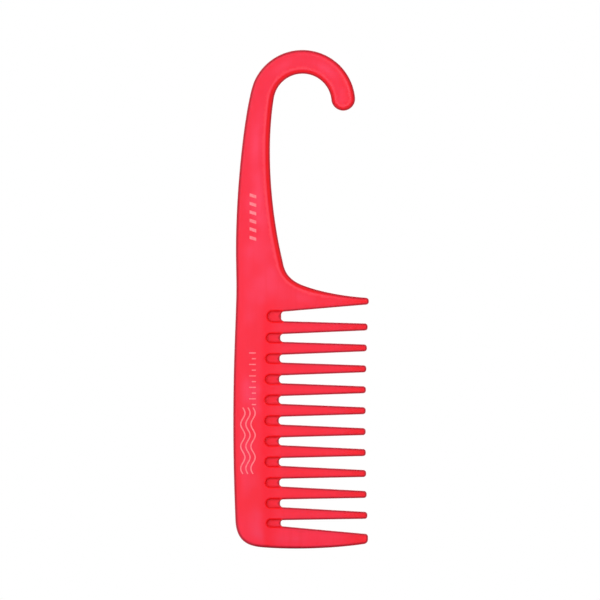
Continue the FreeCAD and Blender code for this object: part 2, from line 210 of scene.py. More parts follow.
# painted shade on the pocket walls, a redder colour for the rim shade in the recess
POCKET_SHADE_RED = (0.720, 0.001, 0.004, 1.0)
INK_PALE = (0.860, 0.170, 0.200, 1.0)
INK_THIN = (0.840, 0.110, 0.140, 1.0)
FLOOR_LIGHT = (0.900, 0.900, 0.895, 1.0)
FLOOR_SHADE = (0.860, 0.860, 0.860, 1.0)

# Pattern of the plastic: each noise's scale, the range of it that shows, and the share of its
# colour.  Places along the comb are in metres.
FACE_BLEND_Z = (-0.200, 0.010)
FOOT_BLEND_Z = (-0.204, -0.186)
CLOUD_SCALE = 38.0
CLOUD_RANGE = (0.38, 0.66)
CREASE_SHADE_BLEND = (0.5, 3.5, 11.0)       # painted shade band, mm in front of the crease: starts, is full, has gone
CREASE_SHADE_RUN_OUT_Z = (-0.105, -0.085)
CREASE_SHADE_SHARE = 0.75
FLOW_STRETCH = (3.0, 1.0, 0.25)
FLOW_SCALE = 160.0
FLOW_RANGE = (0.45, 0.75)
FLOW_SHARE = 0.30
TIP_BLEND_X = (0.014, 0.030)
TIP_SHARE = 0.75
BEVEL_SHADE_RANGE = (0.1, 0.8)
CREST_HIGHLIGHT_RANGE = (-0.1, -0.9)
BEVEL_SHADE_SHARE = 0.9
RIM_SHADE_SHARE = 0.92
WEAR_SCALE = 210.0
WEAR_RANGE = (0.3, 0.7)
PLASTIC_ROUGHNESS = (0.30, 0.42)
GRAIN_SCALE = 2600.0
WAVE_SCALE = 120.0
WAVE_SHARE = 6.0
GRAIN_HEIGHT = 0.00002
PLASTIC_BUMP = 0.35
SCATTER_WEIGHT = 0.45
SCATTER_RADIUS = (1.0, 0.22, 0.20)
SCATTER_SCALE = 0.0009
PLASTIC_IOR = 1.49
PLASTIC_SPECULAR = 0.16

# Pattern of the ink
INK_PATCH_SCALE = 900.0
INK_PATCH_RANGE = (0.40, 0.70)
INK_ROUGHNESS = (0.48, 0.62)
INK_GRAIN_SCALE = 4000.0
INK_GRAIN_HEIGHT = 0.00001
INK_BUMP = 0.3

# Stage, in metres: each lamp's name, place, watts and width
FLOOR_GAP = 0.0001
FLOOR_HALF = 12.0
FLOOR_PATCH_SCALE = 14.0
FLOOR_ROUGHNESS = 0.75
FLOOR_SPECULAR = 0.2
LAMPS = (
    ("key", (-0.55, -0.85, 0.35), 3.4, 0.5),
    ("glint", (0.40, -0.85, 0.30), 1.2, 0.22),
    ("fill", (0.30, 0.80, 0.30), 2.0, 0.8),
)
LOOK_AT = Vector((0.0, 0.0, -0.09))
VIEW_DISTANCE = 1.0
VIEW_WIDTH = 0.2826
VIEW_X = -0.00118
VIEW_Z = -0.09290

# Spacing of the mesh
STEP_WEB_FRONT = 0.25
STEP_FINE = 0.32
STEP_HOOK_END = 0.45
STEP_POCKET = 0.5
STEP_HOOK = 0.6
STEP_EDGE = 0.8
STEP_TOOTH = 1.2
STEP_FACE = 1.3
STEP_WEB = 0.7
GRID_ROW = 0.866         # height of a row of a triangular grid, in steps
GRID_CLEARANCE = 0.6     # a grid's points keep this many steps off its border
BATCH = 500              # points measured at a time, to save memory
MERGE_GAP = 1e-5         # points of a triangulation nearer than this are one
SEAM_GAP = 1e-9          # a vertex nearer than this to the middle plane is on it


def polar(radius, degrees):
    angle = np.radians(degrees)
    return np.stack([radius * np.cos(angle), radius * np.sin(angle)], -1)


def line_points(a, b, step=STEP_EDGE):
    a = np.array(a, float)
    b = np.array(b, float)
    count = max(2, int(math.ceil(np.linalg.norm(b - a) / step)) + 1)
    share = np.linspace(0, 1, count)[:, None]
    return a + (b - a) * share


def arc_points(centre, radius, from_deg, to_deg, step=STEP_FINE):
    length = radius * abs(math.radians(to_deg - from_deg))
    count = max(3, int(math.ceil(length / step)) + 1)
    return np.array(centre, float) + polar(radius, np.linspace(from_deg, to_deg, count))


def curve_points(start, start_deg, end, end_deg, reach, step=STEP_EDGE):
    """Cubic curve that leaves start and arrives at end on the given headings."""
    start = np.array(start, float)
    end = np.array(end, float)
    near_start = start + polar(reach[0], start_deg)
    near_end = end - polar(reach[1], end_deg)
    count = int(math.ceil(np.linalg.norm(end - start) / step)) + 1
    t = np.linspace(0, 1, count)[:, None]
    return ((1 - t) ** 3 * start + 3 * (1 - t) ** 2 * t * near_start
            + 3 * (1 - t) * t ** 2 * near_end + t ** 3 * end)


def corner_points(before, corner, after, radius, step=STEP_FINE):
    """The arc that rounds a corner, from the side of before to the side of after."""
    corner = np.array(corner, float)
    back = np.array(before, float) - corner
    on = np.array(after, float) - corner
    back /= np.linalg.norm(back)
    on /= np.linalg.norm(on)
    half_angle = math.acos(np.clip(back @ on, -1, 1)) / 2
    reach = radius / math.tan(half_angle)
    bisector = (back + on) / np.linalg.norm(back + on)
    centre = corner + bisector * radius / math.sin(half_angle)
    first = corner + back * reach - centre
    last = corner + on * reach - centre
    first_deg = math.degrees(math.atan2(first[1], first[0]))
    last_deg = math.degrees(math.atan2(last[1], last[0]))
    sweep = (last_deg - first_deg + 180) % 360 - 180
    return arc_points(centre, radius, first_deg, first_deg + sweep, step)


def tip_round(end, heading_deg, tip_x, turn):
    """Arc from a guard's long edge to its tip, turning left (1) or right (-1)."""
    radius = (tip_x - end[0]) / (1 - turn * math.sin(math.radians(heading_deg)))
    centre = np.array(end) + polar(radius, heading_deg + 90 * turn)
    return arc_points(centre, radius, heading_deg - 90 * turn, 0)


def bow_x(x, z):
    radius = BOW_X - x
    return BOW_X - np.sqrt(radius ** 2 - (z - BOW_Z) ** 2)


def smooth(low, high, value):
    share = np.clip((value - low) / (high - low), 0, 1)
    return share * share * (3 - 2 * share)


def node_points(node):
    """Vertices of a CAD node as (x, z) in millimetres."""
    return np.array([(v.co.x, v.co.z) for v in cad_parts[node].data.vertices]) / MM


def tooth_sides(number):
    """The upper and lower side of a tooth, each as its root and its sharp tip corner."""
    points = node_points(f"tooth_{number:02d}")
    low = points.min(0)
    high = points.max(0)
    near_tip = points[points[:, 0] > high[0] - 2 * TIP_CORNER_R]
    sides = []
    for root_z, turn in ((high[1], near_tip[:, 1].argmax()), (low[1], near_tip[:, 1].argmin())):
        root = np.array([bow_x(ROOT_X, root_z), root_z])
        side = [root, near_tip[turn]]
        sides.append([root, np.array([high[0], height_at(side, high[0])])])
    return sides


def height_at(line, x):
    (x0, z0), (x1, z1) = line
    return z0 + (z1 - z0) * (x - x0) / (x1 - x0)


class Outline:
    """Stations in order round the comb, with the material on the left."""

    def __init__(self):
        self.points = []
        self.edges = []
        self.pocket = []
        self.body = []

    def add(self, points, edge_from, edge_to=None, pocket=False, body=False):
        edge_to = edge_to or edge_from
        steps = np.linalg.norm(np.diff(points, axis=0), axis=1)
        along = np.concatenate([[0], np.cumsum(steps)]) / steps.sum()
        for point, share in zip(points, smooth(0, 1, along)):
            if self.points and np.linalg.norm(self.points[-1] - point) < SAME_POINT:
                continue
            self.points.append(np.array(point, float))
            self.edges.append(np.array(edge_from) * (1 - share) + np.array(edge_to) * share)
            self.pocket.append(pocket)
            self.body.append(body)

    def close(self):
        if np.linalg.norm(self.points[0] - self.points[-1]) < SAME_POINT:
            for column in (self.points, self.edges, self.pocket, self.body):
                column.pop()
        self.points = np.array(self.points)
        self.edges = np.array(self.edges)
        self.pocket = np.array(self.pocket)
        self.body = np.array(self.body)


def normals_of(points, closed=True):
    """Unit normals to the left of a line of stations."""
    ahead = np.roll(points, -1, axis=0) - points
    behind = points - np.roll(points, 1, axis=0)
    if not closed:
        ahead[-1] = behind[-1]
        behind[0] = ahead[0]
    ahead /= np.linalg.norm(ahead, axis=1)[:, None]
    behind /= np.linalg.norm(behind, axis=1)[:, None]
    tangent = ahead + behind
    tangent /= np.linalg.norm(tangent, axis=1)[:, None]
    return np.stack([-tangent[:, 1], tangent[:, 0]], -1)


def comb_outline():
    """The outline of the moulding's walls, and for each gap the stations where its web starts."""
    outline = Outline()
    gaps = []
    hook_root = polar(HOOK_OUTER_R, HOOK_ROOT_DEG)
    throat_end = polar(HOOK_INNER_R, INNER_ARC_END_DEG)

    outline.add(arc_points((0, 0), HOOK_OUTER_R, HOOK_TIP_DEG, HOOK_ROOT_DEG, STEP_HOOK),
                HOOK_TIP_EDGE, BACK_EDGE, body=True)
    for start, start_deg, end, end_deg, reach, step in (
        (hook_root, HOOK_ROOT_DEG + 90, HANDLE_OUTER_FOOT, HANDLE_OUTER_DEG, HANDLE_OUTER_REACH, STEP_EDGE),
        (HANDLE_OUTER_FOOT, HANDLE_OUTER_DEG, BACK_TOP, BACK_TOP_DEG, SHOULDER_OUTER_REACH, STEP_EDGE),
        (BACK_TOP, BACK_TOP_DEG, BACK_FOOT, BACK_FOOT_DEG, BACK_REACH, STEP_EDGE),
        (BACK_FOOT, BACK_FOOT_DEG, HEEL_FOOT, HEEL_FOOT_DEG, HEEL_REACH, STEP_HOOK),
    ):
        outline.add(curve_points(start, start_deg, end, end_deg, reach, step), BACK_EDGE, body=True)
    outline.add(curve_points(HEEL_FOOT, HEEL_FOOT_DEG, BOTTOM_GUARD_END, BOTTOM_GUARD_DEG, FOOT_REACH),
                BACK_EDGE, GUARD_TIP_EDGE, body=True)
    outline.add(tip_round(BOTTOM_GUARD_END, BOTTOM_GUARD_DEG, BOTTOM_GUARD_TIP[0], 1),
                GUARD_TIP_EDGE)

    below = [np.array(BOTTOM_GUARD_ROOT), np.array(BOTTOM_GUARD_TIP)]
    outline.add(corner_points(below[1] - (0, TIP_FLAT), below[1], below[0], TIP_CORNER_R),
                GUARD_TIP_EDGE, TOOTH_EDGE)
    for number in range(TOOTH_COUNT + 1, 0, -1):
        above = [np.array(TOP_GUARD_ROOT), np.array(TOP_GUARD_TIP)]
        tip_top = above[1] + (0, TIP_FLAT)
        if number > 1:
            upper_side, above = tooth_sides(number - 1)
            tip_top = upper_side[1]
        root_gap = above[0][1] - below[0][1]
        middle_z = (below[0][1] + above[0][1]) / 2
        corner_r = min(GAP_CORNER_R, GAP_CORNER_SHARE * root_gap)
        start_x = bow_x(GAP_END_X, middle_z) + corner_r
        lower = np.array([start_x, height_at(below, start_x)])
        upper = np.array([start_x, height_at(above, start_x)])
        half = (upper[1] - lower[1]) / 2
        turn = np.array([bow_x(POCKET_END_X, middle_z) + half, (upper[1] + lower[1]) / 2])
        outline.add(line_points(outline.points[-1], lower, STEP_TOOTH), TOOTH_EDGE)
        first = len(outline.points) - 1
        pocket = np.concatenate([
            line_points(lower, turn - (0, half), STEP_POCKET)[1:],
            arc_points(turn, half, 270, 90)[1:],
            line_points(turn + (0, half), upper, STEP_POCKET)[1:-1],
        ])
        outline.add(pocket, TOOTH_EDGE, pocket=True)
        gaps.append({"first": first, "last": len(outline.points), "corner_r": corner_r})
        corner = corner_points(upper, above[1], tip_top, TIP_CORNER_R)
        outline.add(line_points(upper, corner[0], STEP_TOOTH), TOOTH_EDGE)
        outline.add(corner, TOOTH_EDGE, TOOTH_EDGE if number > 1 else GUARD_TIP_EDGE)
        if number > 1:
            outline.add(corner_points(above[1], tip_top, upper_side[0], TIP_CORNER_R), TOOTH_EDGE)
            below = upper_side

    outline.add(tip_round(TOP_GUARD_END, TOP_GUARD_DEG, TOP_GUARD_TIP[0], -1)[::-1], GUARD_TIP_EDGE)
    guard_top = curve_points(NECK, NECK_DEG, TOP_GUARD_END, TOP_GUARD_DEG, GUARD_TOP_REACH)
    outline.add(guard_top[::-1], GUARD_TIP_EDGE, SHOULDER_EDGE, body=True)
    shoulder = curve_points(HANDLE_INNER_FOOT, HANDLE_INNER_DEG, NECK, NECK_DEG, SHOULDER_INNER_REACH)
    outline.add(shoulder[::-1], SHOULDER_EDGE, INNER_EDGE, body=True)
    handle = curve_points(throat_end, INNER_ARC_END_DEG + 90, HANDLE_INNER_FOOT, HANDLE_INNER_DEG,
                          HANDLE_INNER_REACH)
    outline.add(handle[::-1], INNER_EDGE, body=True)
    outline.add(arc_points((0, 0), HOOK_INNER_R, INNER_ARC_END_DEG, HOOK_TIP_DEG, STEP_HOOK),
                INNER_EDGE, HOOK_TIP_EDGE, body=True)
    end_centre = polar((HOOK_INNER_R + HOOK_OUTER_R) / 2, HOOK_TIP_DEG)
    end_r = (HOOK_OUTER_R - HOOK_INNER_R) / 2
    outline.add(arc_points(end_centre, end_r, HOOK_TIP_DEG + 180, HOOK_TIP_DEG + 360, STEP_HOOK_END),
                HOOK_TIP_EDGE, body=True)
    outline.close()
    return outline, gaps


def taper_depth(points):
    """How much thinner than the spine one face is, in front of the crease."""
    x, z = points[:, 0], points[:, 1]
    run_out = 1 - smooth(RUN_OUT_FOOT_Z, RUN_OUT_TOP_Z, z)
    ahead = x - bow_x(CREASE_X, z) - RUN_OUT_SHIFT * (1 - run_out)
    soft = (ahead + np.sqrt(ahead ** 2 + CREASE_SOFTNESS ** 2)) / 2
    slope = (BODY_HALF - TIP_HALF) / (TIP_X - CREASE_X)
    return slope * run_out * soft


def nearest(points, others):
    """Distance from each point to the nearest of the others."""
    result = np.empty(len(points))
    for start in range(0, len(points), BATCH):
        part = points[start:start + BATCH]
        gap = part[:, None, :] - others[None, :, :]
        result[start:start + BATCH] = np.sqrt((gap ** 2).sum(-1).min(1))
    return result


def half_thickness(points, body_line):
    """Height of a face above the middle plane: the taper, and a slight crown across the body."""
    inside = np.clip(nearest(points, body_line) / CROWN_WIDTH, 0, 1)
    return BODY_HALF - taper_depth(points) - CROWN_DEPTH * (1 - inside) ** 2


def inside_polygon(points, polygon):
    """True for each point within a closed polygon, by counting crossings."""
    odd = np.zeros(len(points), bool)
    ends = np.roll(polygon, -1, axis=0)
    for (x0, z0), (x1, z1) in zip(polygon, ends):
        if z0 == z1:
            continue
        spans = (points[:, 1] >= min(z0, z1)) & (points[:, 1] < max(z0, z1))
        crossing = x0 + (points[:, 1] - z0) * (x1 - x0) / (z1 - z0)
        odd ^= spans & (points[:, 0] < crossing)
    return odd


def face_grid(polygon, step):
    """Points of a triangular grid that lie well inside a polygon."""
    low = polygon.min(0)
    high = polygon.max(0)
    rows = np.arange(low[1], high[1], step * GRID_ROW)
    points = []
    for index, z in enumerate(rows):
        for x in np.arange(low[0] + (index % 2) * step / 2, high[0], step):
            points.append((x, z))
    points = np.array(points)
    points = points[inside_polygon(points, polygon)]
    return points[nearest(points, polygon) > GRID_CLEARANCE * step]


class Shell:
    """Vertices and faces of one half of the comb, in front of the middle plane."""

    def __init__(self):
        self.places = []
        self.zones = []
        self.faces = []

    def column(self, points, heights, rim_shade=0.0, bevel_shade_and_highlight=0.0, ring=0.0):
        """Adds a vertex for each point and returns their numbers.

        The zones say how much painted shade the vertex takes at a rim, how much painted shade it takes on a
        bevelled band, with values below zero marking a painted highlight at the bevel's crest, and how far
        it is on a pocket's wall, where the rim's painted shade is redder.
        """
        start = len(self.places)
        zones = np.zeros((len(points), 3))
        zones[:, 0] = rim_shade
        zones[:, 1] = bevel_shade_and_highlight
        zones[:, 2] = ring
        for (x, z), height, zone in zip(points, heights, zones):
            self.places.append((x, -height, z))
            self.zones.append(zone)
        return np.arange(start, len(self.places))

    def strip(self, below, above, closed, keep=None):
        """Faces between two rows of vertices; keep says which cells to fill."""
        count = len(below) if closed else len(below) - 1
        for index in range(count):
            if keep is not None and not keep[index]:
                continue
            after = (index + 1) % len(below)
            self.faces.append((below[index], below[after], above[after], above[index]))

    def fill(self, border, border_points, inner, inner_points):
        """Triangles over a polygon of vertices, with more vertices inside it."""
        points = np.concatenate([border_points, inner_points])
        numbers = np.concatenate([border, inner]).astype(int)
        count = len(border)
        edges = [(index, (index + 1) % count) for index in range(count)]
        found = delaunay_2d_cdt([Vector(p) for p in points], edges, [], 0, MERGE_GAP, True)
        source = [group[0] for group in found[3]]
        triangles = np.array([[source[index] for index in face] for face in found[2]])
        kept = inside_polygon(points[triangles].mean(1), border_points)
        self.faces.extend(tuple(face) for face in numbers[triangles[kept]])


def edge_ring(share, bevel):
    """Width and depth shares of a ring of an edge: a quarter round, or a bevel with a crisp rim."""
    angle = share * math.pi / 2
    round_in = 1 - math.cos(angle)
    round_down = 1 - math.sin(angle)
    bevel_in = share ** BEVEL_POWER
    bevel_down = BEVEL_FALL * (1 - bevel_in) + (1 - BEVEL_FALL) * (1 - share) ** RIM_FALL_POWER
    return (round_in + (bevel_in - round_in) * bevel, round_down + (bevel_down - round_down) * bevel)


def comb_shell(outline, gaps):
    """The front half of the moulding: walls, edges, the face inside them, and the webs."""
    shell = Shell()
    points = outline.points
    normals = normals_of(points)
    body_line = points[outline.body]
    width, depth, bevel = outline.edges.T
    face_half = half_thickness(points, body_line)
    depth = np.minimum(depth, DEPTH_LIMIT * face_half)
    wall_top = face_half - depth

    wall = ~outline.pocket
    open_cell = wall & np.roll(wall, -1)
    for gap in gaps:
        open_cell[gap["first"]] = False
    web_level = np.minimum(WEB_HALF, wall_top / 2)
    web_level[outline.pocket] = WEB_HALF

    # pocket walls take a redder painted rim shade, for the dark ring in the recess
    pocket_shade_zone = outline.pocket.astype(float)
    flare = np.zeros(len(points))
    for gap in gaps:
        pocket = np.arange(gap["first"] + 1, gap["last"])
        ends = points[[gap["first"], gap["last"]]]
        flare[pocket] = POCKET_FLARE * smooth(0, FLARE_RUN, nearest(points[pocket], ends))
    # the walls take the painted rim shade, a darker crimson outline
    middle = shell.column(points - normals * PARTING_RIDGE, np.zeros(len(points)), WALL_RIM_SHADE, bevel)
    lip = shell.column(points, np.full(len(points), PARTING_HEIGHT), WALL_RIM_SHADE, bevel)
    base = shell.column(points, web_level, WALL_RIM_SHADE, bevel, pocket_shade_zone)
    shell.strip(middle, lip, True, open_cell)
    shell.strip(lip, base, True, open_cell)

    below = base
    rim_shade_outer = np.where(outline.body, RIM_BODY, RIM_TOOTH) * (1 - RIM_BEVEL_CUT * bevel)
    for index in range(EDGE_RINGS):
        share = index / (EDGE_RINGS - 1)
        shares = [edge_ring(share, amount) for amount in bevel]
        inward = WALL_DRAFT + flare + width * np.array([pair[0] for pair in shares])
        ring = points + normals * inward[:, None]
        heights = half_thickness(ring, body_line) - depth * np.array([pair[1] for pair in shares])
        # painted rim shade: full at the outline, fading out inward
        rim_shade = 1 - smooth(RIM_INNER, rim_shade_outer, inward - RIM_FLARE_SHARE * flare)
        # bevels take painted shade; the crest ring is marked below zero for a painted highlight
        bevel_shade_and_highlight = bevel * (min(1, BEVEL_SHADE_GAIN * (1 - share)) if share < 1 else CREST_HIGHLIGHT_BAND)
        above = shell.column(ring, heights, rim_shade, bevel_shade_and_highlight, pocket_shade_zone)
        shell.strip(below, above, True)
        below = above
    # the hold ring is the bevel's crest, marked for a painted highlight line
    inward = inward + HOLD_WIDTH
    ring = points + normals * inward[:, None]
    rim_shade = 1 - smooth(RIM_INNER, rim_shade_outer, inward - RIM_FLARE_SHARE * flare)
    above = shell.column(ring, half_thickness(ring, body_line), rim_shade, -bevel)
    shell.strip(below, above, True)
    grid = face_grid(ring, STEP_FACE)
    inner = shell.column(grid, half_thickness(grid, body_line))
    shell.fill(above, ring, inner, grid)

    for gap in gaps:
        add_web(shell, points, gap, middle, lip, base)
    return shell


def add_web(shell, points, gap, middle, lip, base):
    """The thin floor at the root of one gap, with its rounded front corners."""
    first, last, radius = gap["first"], gap["last"], gap["corner_r"]
    lower, upper = points[first], points[last]
    low_turn = lower + (0, radius)
    high_turn = upper - (0, radius)
    front = np.concatenate([
        arc_points(low_turn, radius, 270, 180, STEP_WEB_FRONT)[1:],
        line_points(low_turn - (radius, 0), high_turn - (radius, 0), STEP_WEB_FRONT)[1:-1],
        arc_points(high_turn, radius, 180, 90, STEP_WEB_FRONT)[:-1],
    ])
    line = np.concatenate([lower[None], front, upper[None]])
    normals = normals_of(line, closed=False)[1:-1]
    room = np.minimum(front[:, 1] - lower[1], upper[1] - front[:, 1])
    inset = np.minimum(WEB_EDGE, WEB_EDGE_LIMIT * room)[:, None]
    land = np.minimum(WEB_RIM, WEB_RIM_LIMIT * room)[:, None]
    shoulder_y = WEB_HALF - WEB_EDGE
    rows = []
    # the web's front edge takes the painted rim shade, fading out over its land
    for shift, height, rim_shade in (
        (-PARTING_RIDGE, 0, 1.0),
        (0, PARTING_HEIGHT, 1.0),
        (0, shoulder_y, 1.0),
        (ROUND_MIDDLE * inset, shoulder_y + (1 - ROUND_MIDDLE) * WEB_EDGE, 1.0),
        (inset, WEB_HALF, 1.0),
        ((inset + land) / 2, WEB_HALF, WEB_RIM_SHADE_MIDDLE),
        (land, WEB_HALF, 0.0),
    ):
        rows.append(shell.column(front + normals * shift, np.full(len(front), height), rim_shade))
    for below, above in zip(rows, rows[1:]):
        shell.strip(below, above, False)
    shell.faces.append((middle[first], rows[0][0], rows[1][0], lip[first]))
    shell.faces.append((rows[0][-1], middle[last], lip[last], rows[1][-1]))
    shell.faces.append((lip[first], *(row[0] for row in rows[1:]), base[first]))
    shell.faces.append((lip[last], base[last], *(row[-1] for row in rows[:0:-1])))
    pocket = np.arange(first, last + 1)
    top = rows[-1][::-1]
    border = np.concatenate([base[pocket], top])
    border_points = np.concatenate([points[pocket], (front + normals * land)[::-1]])
    grid = face_grid(border_points, STEP_WEB)
    inner = shell.column(grid, np.full(len(grid), WEB_HALF))
    shell.fill(border, border_points, inner, grid)


def comb_mesh(outline, gaps):
    """The whole moulding: the front shell and its mirror image, joined along the middle plane."""
    shell = comb_shell(outline, gaps)
    places = np.array(shell.places)
    zones = np.array(shell.zones)
    used = np.unique(np.concatenate([np.array(face) for face in shell.faces]))
    back = np.full(len(places), -1)
    seam = used[np.abs(places[used, 1]) < SEAM_GAP]
    off_seam = np.setdiff1d(used, seam)
    front = np.full(len(places), -1)
    front[used] = np.arange(len(used))
    back[seam] = front[seam]
    back[off_seam] = len(used) + np.arange(len(off_seam))
    mirrored = places[off_seam] * (1, -1, 1)
    vertices = np.concatenate([places[used], mirrored]) * MM
    faces = [tuple(int(front[index]) for index in face) for face in shell.faces]
    faces += [tuple(int(back[index]) for index in face[::-1]) for face in shell.faces]
    mesh = bpy.data.meshes.new("comb_moulding")
    mesh.from_pydata(vertices.tolist(), [], faces)
    mesh.validate()
    zone_data = mesh.attributes.new("zones", "FLOAT_VECTOR", "POINT").data
    all_zones = np.concatenate([zones[used], zones[off_seam]])
    zone_data.foreach_set("vector", all_zones.astype(np.float32).ravel())
    inward = nearest(vertices[:, [0, 2]] / MM, outline.points)
    core_data = mesh.attributes.new("core", "FLOAT", "POINT").data
    core_data.foreach_set("value", smooth(CORE_FROM, CORE_DEPTH, inward).astype(np.float32))
    mesh.shade_smooth()
    mesh.set_sharp_from_angle(angle=math.radians(SHARP_DEG))
    return mesh


def film(name, ribbons, body_line):
    """Printed marks: each is a row of cross-lines, laid on the front face as a thin film."""
    shell = Shell()
    for lefts, rights in ribbons:
        lefts = np.array(lefts, float)
        rights = np.array(rights, float)
        rims = []
        for points in (lefts, rights):
            face = half_thickness(points, body_line)
            rims.append((shell.column(points, face - PRINT_SINK),
                         shell.column(points, face + PRINT_LIFT)))
        (left_low, left_top), (right_low, right_top) = rims
        shell.strip(left_top, right_top, False)
        shell.strip(right_low, left_low, False)
        shell.strip(left_low, left_top, False)
        shell.strip(right_top, right_low, False)
        shell.faces.append((left_low[0], left_top[0], right_top[0], right_low[0]))
        shell.faces.append((left_low[-1], right_low[-1], right_top[-1], left_top[-1]))
    mesh = bpy.data.meshes.new(name)
    mesh.from_pydata((np.array(shell.places) * MM).tolist(), [],
                     [tuple(int(index) for index in face) for face in shell.faces])
    return mesh


def row(left, right, steps):
    """A straight mark as cross-lines from its left end to its right end."""
    share = np.linspace(0, 1, steps)[:, None]
    return np.array(left) * (1 - share) + np.array(right) * share


def bar_ribbons():
    for index in range(BAR_COUNT):
        z = BARS_TOP_Z - index * BAR_PITCH
        top = row((BAR_X[0], z), (BAR_X[1], z - BAR_LEAN), MARK_STEPS)
        yield top - (0, BAR_WIDTH), top


def tick_ribbons():
    for index in range(TICK_COUNT):
        z = TICKS_TOP_Z - index * TICK_PITCH
        length = TICK_LONG if index % 2 == 0 else TICK_SHORT
        top = row((TICKS_X - length, z), (TICKS_X, z), MARK_STEPS)
        yield top - (0, TICK_WIDTH), top


def strand_ribbons():
    drop = np.linspace(0, STRANDS_LENGTH, STRAND_STEPS)
    for index in range(STRAND_COUNT):
        middle = STRANDS_X + (index - (STRAND_COUNT - 1) / 2) * STRAND_SPACING
        angle = drop * 2 * math.pi / STRAND_WAVELENGTH
        x = middle + STRAND_WAVE * np.sin(angle)
        line = np.stack([x, STRANDS_TOP_Z - drop], -1)
        normals = normals_of(line, closed=False)
        yield line - normals * STRAND_WIDTH / 2, line + normals * STRAND_WIDTH / 2


def nodes_of(name):
    material = bpy.data.materials.new(name)
    material.use_nodes = True
    tree = material.node_tree
    shader = tree.nodes["Principled BSDF"]
    return material, tree, shader


def add_node(tree, kind, settings=None, **inputs):
    """A node with its settings and inputs; an input is a value or another node's output."""
    node = tree.nodes.new(kind)
    for key, value in (settings or {}).items():
        setattr(node, key, value)
    for key, value in inputs.items():
        socket = node.inputs[int(key[1:])] if key[0] == "i" and key[1:].isdigit() else node.inputs[key]
        if isinstance(value, bpy.types.NodeSocket):
            tree.links.new(value, socket)
        else:
            socket.default_value = value
    return node


def noise(tree, place, scale, detail=3.0, rough=0.5, distort=0.0):
    node = add_node(tree, "ShaderNodeTexNoise", None, Vector=place, Scale=scale, Detail=detail,
                    Roughness=rough, Distortion=distort)
    return node.outputs["Fac"]


def spread(tree, value, low, high, to_low=0.0, to_high=1.0):
    node = add_node(tree, "ShaderNodeMapRange", {"interpolation_type": "SMOOTHSTEP"},
                    i0=value, i1=low, i2=high, i3=to_low, i4=to_high)
    return node.outputs[0]


def blend(tree, share, a, b):
    node = add_node(tree, "ShaderNodeMix", {"data_type": "RGBA"}, i0=share, i6=a, i7=b)
    return node.outputs[2]


def product(tree, a, b):
    return add_node(tree, "ShaderNodeMath", {"operation": "MULTIPLY"}, i0=a, i1=b).outputs[0]


